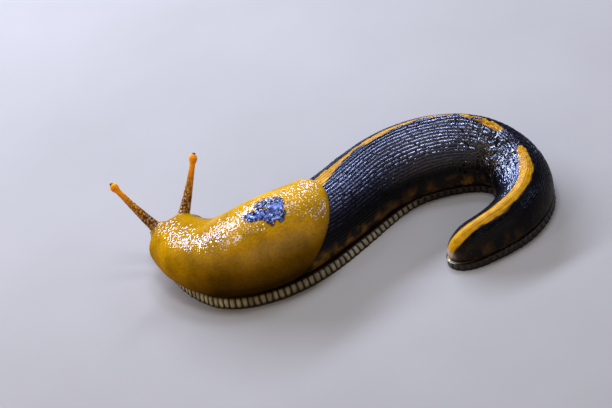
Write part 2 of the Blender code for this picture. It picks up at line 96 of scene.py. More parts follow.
# Mantle
MANTLE_FRONT = 6.3 * MM
MANTLE_BROW = 0.8 * MM
MANTLE_BACK = 56.2 * MM
MANTLE_BACK_CURVE = 14 * MM
MANTLE_PROUD = 1.6 * MM
MANTLE_HEM_HEIGHT = 4.3 * MM
MANTLE_BROW_LENGTH = 4 * MM
MANTLE_BROW_RISE = 1.5 * MM
MANTLE_RIM = 1.7 * MM
PORE_ALONG = 38 * MM
PORE_ANGLE = 156.0
PORE_RADIUS = 1.4 * MM
PORE_DEPTH = 1.4 * MM
PORE_RIM = 0.45 * MM
PORE_EASE = 0.7 * MM
CLEFT_WIDTH = 0.45 * MM
CLEFT_DEPTH = 0.35 * MM
MANTLE_WAVE = 0.12 * MM
MANTLE_RIPPLE = 0.05 * MM
MANTLE_WAVE_TOP = 0.05 * MM
MANTLE_ROOT = 0.4 * MM

# Foot: its width is given as shares of the trunk's
FOOT_HEIGHT = 2.8 * MM
FOOT_TAIL_HEIGHT = 1.9 * MM
FOOT_THIN_FROM = 34 * MM
FOOT_THIN_FULL = 74 * MM
FOOT_SHARES = (
    (0 * MM, 0.84),
    (14 * MM, 0.87),
    (26 * MM, 1.04),
    (36 * MM, 1.05),
    (56 * MM, 1.08),
    (70 * MM, 1.03),
    (86 * MM, 0.93),
    (157 * MM, 0.94),
)
FOOT_FRONT = 1.3 * MM
FOOT_FRONT_ROUNDING = 7 * MM
FOOT_TAIL_OVERHANG = 0.6 * MM
FOOT_LEAST_HALF_WIDTH = 0.03 * MM
FOOT_CURL_SHARE = 0.9
FOLD_PITCH = 1.7 * MM
FOLD_DEPTH = 0.65 * MM
FOLD_SWELL = 0.12 * MM

# Face
MOUTH_HEIGHT = 5.6 * MM
MOUTH_LENGTH = 1.5 * MM
MOUTH_WIDTH = 0.45 * MM
MOUTH_DEPTH = 1.3 * MM
LIP_APART = 1.7 * MM
LIP_WIDTH = 1.2 * MM
LIP_LENGTH = 1.7 * MM
LIP_RISE = 0.7 * MM
FURROW_DEPTH = 0.35 * MM
FURROW_WIDTH = 1.1 * MM
FURROW_SLANT = 0.7

# Tentacles. Directions are (rise above level, turn to the left of straight ahead), in degrees.
# Bulb, dome and root are shares of the length; the root lies inside the head.
STALK_ALONG = 4.2 * MM
STALK_ANGLE = 57.0
STALK_LENGTH = 17.2 * MM
STALK_DIRECTIONS = {"left": (48.0, 34.0), "right": (46.0, -52.0)}
STALK_BASE_RADIUS = 1.65 * MM
STALK_RADIUS = 0.74 * MM
STALK_BULB_RADIUS = 1.15 * MM
STALK_TAPER_END = 0.85
STALK_BULB_AT = 0.93
STALK_BULB_REACH = 0.06
STALK_DOME = 0.055
STALK_ROOT = 0.12
STALK_SAG = 0.5 * MM
EYE_RADIUS = 0.55 * MM
FEELER_ALONG = 1.5 * MM
FEELER_ANGLE = 8.0
FEELER_LENGTH = 4.4 * MM
FEELER_RISE, FEELER_TURN = -16.0, 12.0
FEELER_RADIUS = 0.85 * MM
FEELER_TIP_RADIUS = 0.58 * MM
FEELER_DOME = 0.14
FEELER_ROOT = 0.35

# The swelling of the head round the root of a tentacle: (rise, width, reach)
STALK_SWELLING = (1.7 * MM, 2.6 * MM, 6 * MM)
FEELER_SWELLING = (0.6 * MM, 1.1 * MM, 3 * MM)

# Lengthwise wrinkles of the back, in their real spacing where the body has that half width
WRINKLE_PITCH = 0.95 * MM
WRINKLE_HALF_WIDTH = 9.4 * MM
WRINKLE_DEPTH = 0.34 * MM
WRINKLE_BREAK = 3.2 * MM
GROOVE_POWER = 2.2

# Relief of the back, and the stretches of it near the bend into the tail where the skin differs:
# (start, end, ease in, ease out)
SAG_DEPTH = 0.12 * MM
CREASE_DEPTH = 0.35 * MM
BEAD_HEIGHT = 0.12 * MM
CREASED = (94 * MM, 126 * MM, 10 * MM, 8 * MM)
BEADED = (92 * MM, 130 * MM, 10 * MM, 8 * MM)
UNWRINKLED = (100 * MM, 132 * MM, 12 * MM, 8 * MM)
WET_CREST = (88 * MM, 122 * MM, 8 * MM, 8 * MM)
PATCHY_SLIME = (102 * MM, 144 * MM, 8 * MM, 8 * MM)
BLOTCHY_KEEL = (97 * MM, 118 * MM, 4 * MM, 3 * MM)

# The yellow line along the keel, in millimetres: (along, half width, shift to the left)
KEEL_LINE = MM * np.array((
    (50, 2.2, 0.6),
    (57, 2.0, -0.2),
    (60, 1.6, -0.9),
    (64, 1.2, -1.3),
    (68, 0.8, -1.5),
    (71, 0.6, -1.5),
    (75, 1.1, -1.1),
    (80, 0.9, -1.2),
    (86, 0.7, -1.3),
    (94, 0.7, -1.2),
    (100, 0.7, -0.6),
    (105, 1.1, 0.0),
    (111, 1.0, 0.2),
    (114.5, -1.0, 0.2),
    (118.5, -1.0, 0.2),
    (120, 1.2, 0.2),
    (125, 2.0, 0.2),
    (148, 1.9, 0.0),
    (157, 1.9, 0.0),
))

# The dark blotch on the mantle, as ovals in millimetres: (along, left of the crest, reach along,
# reach across)
BLOTCH = MM * np.array((
    (41.4, 3.2, 3.0, 4.2),
    (39.8, 0.2, 2.6, 2.6),
    (37.2, 2.4, 4.0, 2.0),
    (43.3, 2.2, 1.9, 2.1),
))
SPECKS_AT = (39 * MM, 3 * MM)
SPECKS_REACH = 6 * MM

# Camera, at the distance of a close-up: seen from 37 degrees above, with the ground tilting left.
# The lens is for a sensor 36 mm wide.
CAMERA_TARGET = (-7.3 * MM, 21.0 * MM, 0.0)
CAMERA_DISTANCE = 560 * MM
CAMERA_RISE = 37.0
CAMERA_ROLL = 17.5
CAMERA_LENS = 120.9
CAMERA_SENSOR = 36

# Lamps, in metres and watts: (name, place, width and height, power, colour)
SOFTBOXES = (
    ("overhead_softbox", (0.02, 0.03, 0.50), (0.15, 0.12), 1.35, "#c6d2ff"),
    ("rear_softbox", (-0.15, 0.38, 0.29), (0.60, 0.06), 6.6, "#b6c6ff"),
    ("ridge_softbox", (0.14, 0.15, 0.46), (0.16, 0.09), 1.1, "#b6c6ff"),
    ("right_softbox", (0.42, -0.08, 0.26), (0.14, 0.10), 0.6, "#b6c6ff"),
    ("left_softbox", (-0.29, 0.0, 0.41), (0.10, 0.10), 0.45, "#b8c8ff"),
    ("left_fill", (-0.30, -0.05, 0.14), (0.50, 0.22), 0.18, "#ffdca0"),
    ("front_fill", (0.12, -0.80, 0.34), (1.4, 0.6), 1.5, "#ffe9cc"),
)
AIR_COLOUR = "#b8b6ba"
AIR_STRENGTH = 0.16
FLOOR_REACH = 3.0

# Fineness of the skins. The trunk is coarser where the mantle hides it.
FINE = 1.0
SKIN_STEP = 0.25 * MM * FINE
ARCH_POINTS = round(330 / FINE)
HIDDEN_STEP = 1.0 * MM
HIDDEN_TO = 38 * MM


def smooth(t):
    """0 before t = 0, 1 after t = 1, with an even ease between."""
    t = np.clip(t, 0.0, 1.0)
    return t * t * (3 - 2 * t)


def bump_at(distance, width):
    """A rounded hump, 1 in its middle."""
    return np.exp(-((distance / width) ** 2))


def between(x, start, end, ease_in, ease_out):
    """1 from start to end and 0 outside, with an even ease just inside them."""
    return smooth((x - start) / ease_in) * smooth((end - x) / ease_out)


def mottle(x, y, seed):
    """Soft random unevenness from -1 to 1, one patch for each unit of x and y."""
    lattice = np.random.default_rng(seed).uniform(-1, 1, (128, 128))
    x, y = np.broadcast_arrays(np.asarray(x, float) + 300, np.asarray(y, float) + 300)
    i, j = np.floor(x).astype(int), np.floor(y).astype(int)
    u, v = smooth(x - i), smooth(y - j)
    i0, i1, j0, j1 = i % 128, (i + 1) % 128, j % 128, (j + 1) % 128
    near = lattice[i0, j0] * (1 - u) + lattice[i1, j0] * u
    far = lattice[i0, j1] * (1 - u) + lattice[i1, j1] * u
    return near * (1 - v) + far * v


def dice(a, b, seed):
    """A random number from 0 to 1 for each pair of whole numbers."""
    table = np.random.default_rng(seed).uniform(0, 1, (256, 256))
    return table[np.asarray(a).astype(int) % 256, np.asarray(b).astype(int) % 256]


def through(table, along, column):
    """A smooth curve through one column of a table of sizes."""
    rows = np.array(table)
    x, y = rows[:, 0], rows[:, column]
    before, after = np.maximum(np.arange(len(x)) - 1, 0), np.minimum(np.arange(len(x)) + 1, len(x) - 1)
    slope = (y[after] - y[before]) / (x[after] - x[before])
    i = np.clip(np.searchsorted(x, along, side="right") - 1, 0, len(x) - 2)
    span = x[i + 1] - x[i]
    t = (along - x[i]) / span
    return (
        (2 * t**3 - 3 * t**2 + 1) * y[i]
        + (t**3 - 2 * t**2 + t) * span * slope[i]
        + (3 * t**2 - 2 * t**3) * y[i + 1]
        + (t**3 - t**2) * span * slope[i + 1]
    )


def heading(along):
    """Direction of the middle line from snout to tail, in radians from +X."""
    turned = sum(turn * smooth((along - middle) / span + 0.5) for turn, middle, span in BENDS)
    return np.radians(SNOUT_HEADING + turned)


LINE_ALONG = LINE_STEP * np.arange(round(LENGTH / LINE_STEP) + 21)
LINE_WAY = heading(LINE_ALONG[:-1] + LINE_STEP / 2)
LINE_X = SNOUT_AT[0] + LINE_STEP * np.concatenate([[0], np.cumsum(np.cos(LINE_WAY))])
LINE_Y = SNOUT_AT[1] + LINE_STEP * np.concatenate([[0], np.cumsum(np.sin(LINE_WAY))])


def place(along, left, up):
    """Points that far along the middle line, that far to the animal's left and that high."""
    way = heading(along)
    x = np.interp(along, LINE_ALONG, LINE_X) + np.sin(way) * left
    y = np.interp(along, LINE_ALONG, LINE_Y) - np.cos(way) * left
    return np.stack(np.broadcast_arrays(x, y, up), axis=-1)


def snout_rounding(along):
    """How much of its full size the trunk has near the snout, as a share."""
    return np.sqrt(np.clip(1 - (1 - np.minimum(along / SNOUT_ROUNDING, 1.0)) ** 2, 0, 1))


def tail_rounding(along, end=LENGTH):
    """The same near the tail's end."""
    behind = np.clip((along - (end - TAIL_ROUNDING)) / TAIL_ROUNDING, 0, 1)
    return np.sqrt(1 - behind**TAIL_BLUNTNESS)


def curl_bulge(along):
    """How much further out the left flank lies on the inner side of the tail's curl."""
    return CURL_BULGE * bump_at(along - CURL_BULGE_AT, CURL_BULGE_REACH)


def half_width(along):
    """Half width of the trunk at its widest."""
    full = through(TRUNK_SIZES, along, 1) * snout_rounding(along) * tail_rounding(along)
    return np.maximum(full, LEAST_HALF_WIDTH)


def crest_height(along):
    full = through(TRUNK_SIZES, along, 2)
    full = SNOUT_TIP_HEIGHT + (full - SNOUT_TIP_HEIGHT) * snout_rounding(along)
    return full * (TAIL_TIP_SHARE + (1 - TAIL_TIP_SHARE) * tail_rounding(along))


def foot_height(along):
    """Height of the foot's upper face."""
    thin = smooth((along - FOOT_THIN_FROM) / (FOOT_THIN_FULL - FOOT_THIN_FROM))
    return FOOT_HEIGHT + (FOOT_TAIL_HEIGHT - FOOT_HEIGHT) * thin


def trunk_base(along):
    """Height of the trunk's underside, which rises to the chin."""
    chin = np.maximum(1 - along / CHIN_LENGTH, 0.0)
    return foot_height(along) + GAP + CHIN_RISE * chin**2


def trunk_outline(along, angle):
    """(left, up) of the trunk's surface without its wrinkles."""
    across, rise = np.cos(np.radians(angle)), np.sin(np.radians(angle))
    crest, base = crest_height(along), trunk_base(along)
    half = half_width(along) + curl_bulge(along) * (across > 0)
    widest = base + through(WIDEST_SHARES, along, 1) * (crest - base)
    keeled = smooth((along - KEEL_FROM) / (KEEL_FULL - KEEL_FROM))
    power = SIDE_POWER_FRONT + (SIDE_POWER_KEELED - SIDE_POWER_FRONT) * keeled
    side = half * np.sign(across) * np.abs(across) ** (2 / power)
    tail = tail_rounding(along)
    ridge = KEEL_RIDGE * keeled * bump_at(side, KEEL_RIDGE_WIDTH) * tail
    lean = KEEL_LEAN * tail * smooth((along - KEEL_LEAN_FROM) / (KEEL_LEAN_FULL - KEEL_LEAN_FROM))
    below = widest + (widest - base) * rise / np.sin(np.radians(UNDERCUT_ANGLE))
    left = np.where(rise < 0, half * across, side - lean * rise**2)
    return left, np.where(rise < 0, below, widest + (crest - widest) * rise + ridge)


def outline_offset(along, angle, distance):
    """The trunk's outline moved outwards by a distance, in the plane of the section."""
    left, up = trunk_outline(along, angle)
    left_before, up_before = trunk_outline(along, angle - 1)
    left_after, up_after = trunk_outline(along, angle + 1)
    run, climb = left_after - left_before, up_after - up_before
    length = np.hypot(run, climb) + 1e-12
    return left + distance * climb / length, up - distance * run / length


def new_object(name, data):
    """A new object in the scene."""
    made = bpy.data.objects.new(name, data)
    bpy.context.scene.collection.objects.link(made)
    return made


def skin_mesh(name, rings, masks, folded=False):
    """A closed mesh over rings of points. Its ends are drawn together to a point, or, where a ring
    is folded like a horseshoe, closed by a strip from its outer arm to its inner arm."""
    count, around, _ = rings.shape
    points = rings.reshape(-1, 3)
    k = np.arange(around)
    after = (k + 1) % around
    starts = np.arange(count - 1)[:, None] * around
    quads = np.stack([starts + k, starts + after, starts + around + after, starts + around + k], axis=-1)
    quads = quads.reshape(-1, 4)
    a, b, c, d = (points[quads[:, n]] for n in range(4))
    volume = np.einsum("ij,ij->", a, np.cross(b, c)) + np.einsum("ij,ij->", a, np.cross(c, d))
    last = (count - 1) * around
    if folded:
        ends = [(j + 1, j, around - 1 - j, around - 2 - j) for j in range(around // 2 - 1)]
        ends += [tuple(last + j for j in face[::-1]) for face in ends]
    else:
        points = np.concatenate([points, rings[[0, -1]].mean(axis=1)])
        edges = list(zip(k.tolist(), after.tolist()))
        ends = [(count * around, j, i) for i, j in edges]
        ends += [(count * around + 1, last + i, last + j) for i, j in edges]
    faces = quads.tolist() + ends
    if volume < 0:
        faces = [face[::-1] for face in faces]
    mesh = bpy.data.meshes.new(name)
    mesh.from_pydata(points.tolist(), [], faces)
    mesh.shade_smooth()
    for mask, values in masks.items():
        values = np.broadcast_to(values, (count, around))
        flat = values.reshape(-1)
        if not folded:
            flat = np.concatenate([flat, values[[0, -1]].mean(axis=1)])
        mesh.attributes.new(mask, "FLOAT", "POINT").data.foreach_set("value", flat.astype(np.float32))
    return new_object(name, mesh)


def linear(colour):
    """A colour written as sRGB hex, as linear RGBA."""
    parts = np.array([int(colour[n : n + 2], 16) / 255 for n in (1, 3, 5)])
    parts = np.where(parts <= 0.04045, parts / 12.92, ((parts + 0.055) / 1.055) ** 2.4)
    return (*parts.tolist(), 1.0)


def add(tree, kind, settings=None, stops=None, **inputs):
    """Adds a shader node with its settings, its colour stops and its inputs, which are values, hex
    colours or outputs of other nodes, and gives back its first output."""
    made = tree.nodes.new(f"ShaderNode{kind}")
    for name, value in (settings or {}).items():
        setattr(made, name, value)
    if stops:
        band = made.color_ramp.elements
        band[0].position, band[1].position = stops[0][0], stops[-1][0]
        band[0].color, band[1].color = linear(stops[0][1]), linear(stops[-1][1])
        for position, colour in stops[1:-1]:
            band.new(position).color = linear(colour)
    sockets = {socket.name.replace(" ", "_"): socket for socket in made.inputs if socket.enabled}
    for name, value in inputs.items():
        if isinstance(value, bpy.types.NodeSocket):
            tree.links.new(value, sockets[name])
        else:
            sockets[name].default_value = linear(value) if isinstance(value, str) else value
    return next(socket for socket in made.outputs if socket.enabled)


def finish(name, **inputs):
    """A new material whose shader has these inputs set."""
    material = bpy.data.materials.new(name)
    material.use_nodes = True
    shader = material.node_tree.nodes["Principled BSDF"]
    for socket, value in inputs.items():
        shader.inputs[socket.replace("_", " ")].default_value = value
    return material, material.node_tree, shader


MIX_COLOUR = {"data_type": "RGBA"}
DARKEN = {"data_type": "RGBA", "blend_type": "MULTIPLY"}
GRAINS = {"feature": "SMOOTH_F1"}
SUNK = {"invert": True}
EASED = {"interpolation_type": "SMOOTHSTEP"}


def mantle_skin():
    """Wet granular slug skin, ochre: domed grains of slime-covered skin break the shine up into
    beads, and light soaks a little way in, so that rims and folds glow orange. Real grains are
    half a millimetre wide. They are drawn a little coarser, and those of the slime 0.85 mm wide, to
    show in the picture."""
    material, tree, shader = finish(
        "wet_granular_ochre_slug_skin",
        Roughness=0.45,
        IOR=1.40,
        Specular_IOR_Level=0.0,
        Subsurface_Weight=0.06,
        Subsurface_Radius=(0.0010, 0.0004, 0.0001),
        Subsurface_Scale=1.0,
        Coat_Roughness=0.07,
        Coat_IOR=1.46,
    )
    where = add(tree, "TexCoord").node.outputs["Object"]
    apart = add(tree, "SeparateXYZ", Vector=where).node.outputs
    x, up = apart["X"], apart["Z"]
    blotch, pore, sheltered = (
        add(tree, "Attribute", {"attribute_name": mask}).node.outputs["Fac"]
        for mask in ("blotch", "pore", "sheltered")
    )
    waves = add(tree, "TexNoise", Vector=where, Scale=1 / (2.4 * MM), Detail=1.0)
    # Painted shade and light: the ochre darkens towards the bottom as painted shade, and is lifted towards
    # the front as painted light on the head's left flank.
    painted_light_front = add(tree, "MapRange", Value=x, From_Min=-36 * MM, From_Max=-48 * MM, To_Max=0.62)
    height = add(tree, "MapRange", Value=up, From_Min=3 * MM, From_Max=22 * MM, To_Min=painted_light_front)
    ochres = ((0.0, "#221501"), (0.2, "#3e2801"), (0.45, "#7e5602"), (0.75, "#c48a02"), (1.0, "#e2a204"))
    shaded_by_height = add(tree, "ValToRGB", stops=ochres, Fac=height)
    cloud = add(tree, "TexNoise", Vector=where, Scale=1 / (6 * MM), Detail=3.0)
    patches = add(tree, "ValToRGB", stops=((0.35, "#b9b9b9"), (0.62, "#ffffff")), Fac=cloud)
    colour = add(tree, "Mix", DARKEN, Factor=0.7, A=shaded_by_height, B=patches)
    grains = add(tree, "TexVoronoi", GRAINS, Vector=where, Scale=1 / (0.6 * MM), Smoothness=0.3)
    gaps = add(tree, "ValToRGB", stops=((0.3, "#ffffff"), (0.9, "#a2833c")), Fac=grains)
    colour = add(tree, "Mix", DARKEN, Factor=0.3, A=colour, B=gaps)
    fine = add(tree, "TexNoise", Vector=where, Scale=1 / (1.3 * MM), Detail=2.0)
    # Painted reflection: the blotch is near black at its ragged edge, and its inside is marbled with pale
    # blue as a painted reflection of the sky.
    dark = add(tree, "ValToRGB", stops=((0.4, "#12131c"), (0.52, "#445382"), (0.66, "#9dacd8")), Fac=fine)
    inner = add(tree, "MapRange", Value=blotch, From_Min=0.5, From_Max=1.0)
    dark = add(tree, "Mix", MIX_COLOUR, Factor=inner, A="#15131c", B=dark)
    blotch = add(tree, "MapRange", Value=blotch, From_Max=0.5)
    colour = add(tree, "Mix", MIX_COLOUR, Factor=blotch, A=colour, B=dark)
    # Painted shade: the breathing pore and its cleft are painted dark brown.
    colour = add(tree, "Mix", MIX_COLOUR, Factor=pore, A=colour, B="#1d1002")
    tree.links.new(colour, shader.inputs["Base Color"])
    wet = add(tree, "MapRange", Value=up, From_Min=12 * MM, From_Max=16 * MM, To_Min=0.05)
    wet = add(tree, "MapRange", Value=sheltered, To_Min=wet, To_Max=0.15)
    wet = add(tree, "MapRange", Value=blotch, To_Min=wet, To_Max=0.7)
    tree.links.new(wet, shader.inputs["Coat Weight"])
    soft = add(tree, "Bump", Height=waves, Distance=0.1 * MM)
    flesh = add(tree, "Bump", SUNK, Height=grains, Distance=0.04 * MM, Normal=soft)
    drops = add(tree, "TexVoronoi", GRAINS, Vector=where, Scale=1 / (0.85 * MM), Smoothness=0.15)
    tall = add(tree, "MapRange", Value=up, From_Min=18 * MM, From_Max=21 * MM, To_Min=1.0, To_Max=1.8)
    domes = add(tree, "MapRange", EASED, Value=drops, From_Max=0.75, To_Max=tall)
    slime = add(tree, "Bump", SUNK, Height=domes, Distance=0.07 * MM, Normal=soft)
    tree.links.new(flesh, shader.inputs["Normal"])
    tree.links.new(slime, shader.inputs["Coat Normal"])
    return material


def back_skin():
    """Wet ridged slug skin, black with a yellow keel: slime on the ridges' tops catches the light in broken
    blue-white streaks, and where the slime lies thick the tops are painted dark blue as a reflection of the
    sky. The grooves between the ridges carry painted shade, the tail's end has pale slime painted paler as a
    highlight, and the head is brownish ochre and finely granular."""
    material, tree, shader = finish(
        "wet_ridged_black_slug_skin",
        Roughness=0.35,
        IOR=1.40,
        Specular_IOR_Level=0.08,
        Coat_Roughness=0.14,
        Coat_IOR=2.1,
    )
    where = add(tree, "TexCoord").node.outputs["Object"]
    top, low, keel, head, slime, wet = (
        add(tree, "Attribute", {"attribute_name": mask}).node.outputs["Fac"]
        for mask in ("wrinkle_top", "low_flank", "keel_line", "head", "tail_slime", "wet")
    )
    # Painted shade: the wrinkles' grooves are a little darker than their tops.
    colour = add(tree, "ValToRGB", stops=((0.0, "#030202"), (1.0, "#0f0b0d")), Fac=top)
    # Painted reflection: where the slime lies thick, the wrinkles' tops are painted dark blue as a
    # reflection of the sky.
    blue = add(tree, "ValToRGB", stops=((0.25, "#020202"), (0.95, "#182248")), Fac=top)
    colour = add(tree, "Mix", MIX_COLOUR, Factor=wet, A=colour, B=blue)
    cloud = add(tree, "TexNoise", Vector=where, Scale=1 / (3 * MM), Detail=4.0)
    brown = add(tree, "ValToRGB", stops=((0.44, "#1c130a"), (0.68, "#7a540e")), Fac=cloud)
    colour = add(tree, "Mix", MIX_COLOUR, Factor=low, A=colour, B=brown)
    fine = add(tree, "TexNoise", Vector=where, Scale=1 / (1.6 * MM), Detail=3.0)
    yellow = add(tree, "ValToRGB", stops=((0.3, "#b67c05"), (0.68, "#dc9c0e")), Fac=fine)
    edge = add(tree, "ValToRGB", stops=((0.0, "#3a2303"), (0.75, "#ffffff")), Fac=keel)
    yellow = add(tree, "Mix", DARKEN, Factor=1.0, A=yellow, B=edge)
    shown = add(tree, "MapRange", Value=keel, From_Min=0.1, From_Max=0.45)
    colour = add(tree, "Mix", MIX_COLOUR, Factor=shown, A=colour, B=yellow)
    grains = add(tree, "TexVoronoi", GRAINS, Vector=where, Scale=1 / (0.5 * MM), Smoothness=0.3)
    ochre = add(tree, "ValToRGB", stops=((0.2, "#c08a0c"), (0.9, "#8f6208")), Fac=grains)
    colour = add(tree, "Mix", MIX_COLOUR, Factor=head, A=colour, B=ochre)
    # Pale slime on the tail's end, painted paler as a highlight.
    colour = add(tree, "Mix", MIX_COLOUR, Factor=slime, A=colour, B="#c9b9a4")
    tree.links.new(colour, shader.inputs["Base Color"])
    tree.links.new(wet, shader.inputs["Coat Weight"])
    soft = add(tree, "Bump", Height=fine, Distance=0.1 * MM)
    beads = add(tree, "Bump", SUNK, Height=grains, Distance=0.05 * MM, Normal=soft)
    tree.links.new(beads, shader.inputs["Normal"])
    tree.links.new(beads, shader.inputs["Coat Normal"])
    return material


def foot_skin():
    """Wet pleated slug skin, olive grey: pale and a little glossy on the folds. The grooves between them are
    painted nearly black as shade, the folds carry painted shade under their rolled top and along their
    bottom edge, and they darken to brown-black towards the tail."""
    material, tree, shader = finish(
        "wet_pleated_olive_slug_skin",
        Roughness=0.45,
        IOR=1.40,
        Specular_IOR_Level=0.2,
        Coat_Weight=0.8,
        Coat_Roughness=0.12,
        Coat_IOR=1.36,
    )
    where = add(tree, "TexCoord").node.outputs["Object"]
    groove, shade = (
        add(tree, "Attribute", {"attribute_name": mask}).node.outputs["Fac"]
        for mask in ("groove", "shade")
    )
    cloud = add(tree, "TexNoise", Vector=where, Scale=1 / (2.5 * MM), Detail=3.0)
    folds = add(tree, "ValToRGB", stops=((0.3, "#9c8c58"), (0.7, "#e2d4a0")), Fac=cloud)
    # Painted shade: the folds darken under their rolled top, along their bottom edge and towards the tail.
    shade_browns = ((0.0, "#ffffff"), (0.5, "#6e5836"), (1.0, "#1d140b"))
    dark = add(tree, "ValToRGB", stops=shade_browns, Fac=shade)
    colour = add(tree, "Mix", DARKEN, Factor=1.0, A=folds, B=dark)
    # Painted shade: the grooves between the folds are painted nearly black.
    colour = add(tree, "Mix", MIX_COLOUR, Factor=groove, A=colour, B="#0b0703")
    tree.links.new(colour, shader.inputs["Base Color"])
    fine = add(tree, "TexNoise", Vector=where, Scale=1 / (0.6 * MM), Detail=2.0)
    rough = add(tree, "Bump", Height=fine, Distance=0.08 * MM)
    tree.links.new(rough, shader.inputs["Normal"])
    tree.links.new(rough, shader.inputs["Coat Normal"])
    return material


def tentacle_skin():
    """Wet stretched slug skin: orange and clear towards the tip, and rough at the base with pale grains on
    brown, which stand partly for the skin's pale tubercles and partly for painted glints. Real grains of
    half a millimetre are drawn hardly coarser, to show."""
    material, tree, shader = finish(
        "wet_stretched_orange_slug_skin",
        Roughness=0.4,
        IOR=1.40,
        Specular_IOR_Level=0.0,
        Subsurface_Weight=0.25,
        Subsurface_Radius=(0.0015, 0.0006, 0.0001),
        Subsurface_Scale=1.0,
        Coat_Weight=0.5,
        Coat_Roughness=0.08,
        Coat_IOR=1.5,
    )
    where = add(tree, "TexCoord").node.outputs["Object"]
    reach = add(tree, "Attribute", {"attribute_name": "reach"}).node.outputs["Fac"]
    oranges = ((0.0, "#a87206"), (0.3, "#a86a04"), (0.6, "#d08402"), (0.85, "#ff9600"), (1.0, "#ff9c00"))
    colour = add(tree, "ValToRGB", stops=oranges, Fac=reach)
    grains = add(tree, "TexVoronoi", GRAINS, Vector=where, Scale=1 / (0.55 * MM), Smoothness=0.2)
    gaps = add(tree, "ValToRGB", stops=((0.3, "#ffffff"), (0.7, "#6a4410")), Fac=grains)
    rough_share = add(tree, "MapRange", Value=reach, From_Min=0.3, From_Max=0.85, To_Min=0.9, To_Max=0.05)
    colour = add(tree, "Mix", DARKEN, Factor=rough_share, A=colour, B=gaps)
    # Pale grains on the rough base: partly the skin's pale tubercles, partly painted glints.
    pale = add(tree, "MapRange", Value=grains, From_Min=0.38, From_Max=0.12, To_Max=rough_share)
    colour = add(tree, "Mix", MIX_COLOUR, Factor=pale, A=colour, B="#dcb05a")
    tree.links.new(colour, shader.inputs["Base Color"])
    beads = add(tree, "Bump", SUNK, Height=grains, Distance=0.2 * MM)
    tree.links.new(beads, shader.inputs["Normal"])
    tree.links.new(beads, shader.inputs["Coat Normal"])
    return material


def eye_black():
    """Wet black eye: smooth and glassy under a clear skin, with a faint brown cloud in its depth."""
    material, tree, shader = finish(
        "wet_glassy_black_eye", Roughness=0.15, IOR=1.38, Coat_Weight=0.2, Coat_Roughness=0.03
    )
    where = add(tree, "TexCoord").node.outputs["Object"]
    cloud = add(tree, "TexNoise", Vector=where, Scale=1 / (0.3 * MM), Detail=2.0)
    colour = add(tree, "ValToRGB", stops=((0.4, "#040404"), (0.8, "#140d08")), Fac=cloud)
    tree.links.new(colour, shader.inputs["Base Color"])
    return material


def floor_plaster():
    """Matte plaster, pale: a little uneven so that it doesn't look like empty space."""
    material, tree, shader = finish("matte_pale_plaster", Roughness=0.85)
    where = add(tree, "TexCoord").node.outputs["Object"]
    cloud = add(tree, "TexNoise", Vector=where, Scale=1 / (60 * MM), Detail=3.0)
    colour = add(tree, "ValToRGB", stops=((0.3, "#a0957b"), (0.7, "#a79c82")), Fac=cloud)
    tree.links.new(colour, shader.inputs["Base Color"])
    return material


def mantle_back(angle):
    """How far back the mantle reaches at that angle round the body."""
    return MANTLE_BACK - MANTLE_BACK_CURVE * ((angle - 90) / 90) ** 2


def run_and_arc(angle, left, up):
    """Distance along each section, from its first point and to the left from the crest."""
    steps = np.hypot(np.diff(left, axis=1), np.diff(up, axis=1))
    run = np.concatenate([np.zeros((len(left), 1)), np.cumsum(steps, axis=1)], axis=1)
    crest = [np.interp(90.0, *pair) for pair in zip(np.broadcast_to(angle, run.shape), run)]
    return run, np.array(crest)[:, None] - run


def wrinkles(along, arc, angle):
    """The back's wrinkles: (depth of the skin below their tops, how much each point is on a top)."""
    narrower = (half_width(along) / WRINKLE_HALF_WIDTH) ** 0.6
    rear = smooth((along - 90 * MM) / (16 * MM))
    wander = 0.25 * mottle(along / (10 * MM), arc / (5 * MM), 3)
    wander = wander + (0.1 + 0.28 * rear) * mottle(along / (2.4 * MM), arc / (1.5 * MM), 4)
    row = arc / (WRINKLE_PITCH * narrower) + 0.5 + wander
    number = np.floor(row)
    groove = np.abs(2 * (row - number) - 1) ** GROOVE_POWER
    # Most wrinkles are cut across every few millimetres, and the pieces differ in height
    cell = along / (WRINKLE_BREAK * (1 - 0.5 * rear)) + 7.3 * dice(number, number * 0, 5)
    piece = np.floor(cell)
    broken = bump_at(np.abs(cell - piece - 0.5), 0.06 + 0.07 * rear)
    broken = broken * (dice(number, piece, 6) > 0.3 - 0.25 * rear)
    height = 0.72 + 0.28 * dice(number, piece, 8)
    depth = 1 - (1 - groove) * (1 - 0.8 * broken) * height
    # They fade out beside the mantle, the foot and the tail's end, and at the bend
    behind_mantle = smooth((along - mantle_back(angle)) / (2 * MM) + 0.5)
    before_tail = 0.25 + 0.75 * smooth((134 * MM - along) / (16 * MM))
    before_end = smooth((LENGTH - 1.5 * MM - along) / (4 * MM))
    above_foot = between(angle, -22, 202, 12, 12) * (0.45 + 0.55 * between(angle, 10, 170, 25, 25))
    bend = between(along, *UNWRINKLED) * smooth(arc / (3 * MM))
    amount = behind_mantle * before_tail * before_end * above_foot * (1 - 0.85 * bend)
    return WRINKLE_DEPTH * amount * depth, (1 - depth) * amount


def creases(along, arc):
    """How deep the skin is folded where the body turns into the tail."""
    net = mottle(along / (3.0 * MM), arc / (2.3 * MM), 32)
    net = np.abs(net + 0.4 * mottle(along / (1.3 * MM), arc / (1.1 * MM), 33))
    left_side = smooth((arc + 2 * MM) / (2 * MM))
    return CREASE_DEPTH * between(along, *CREASED) * (1 - smooth(net / 0.4)) * left_side


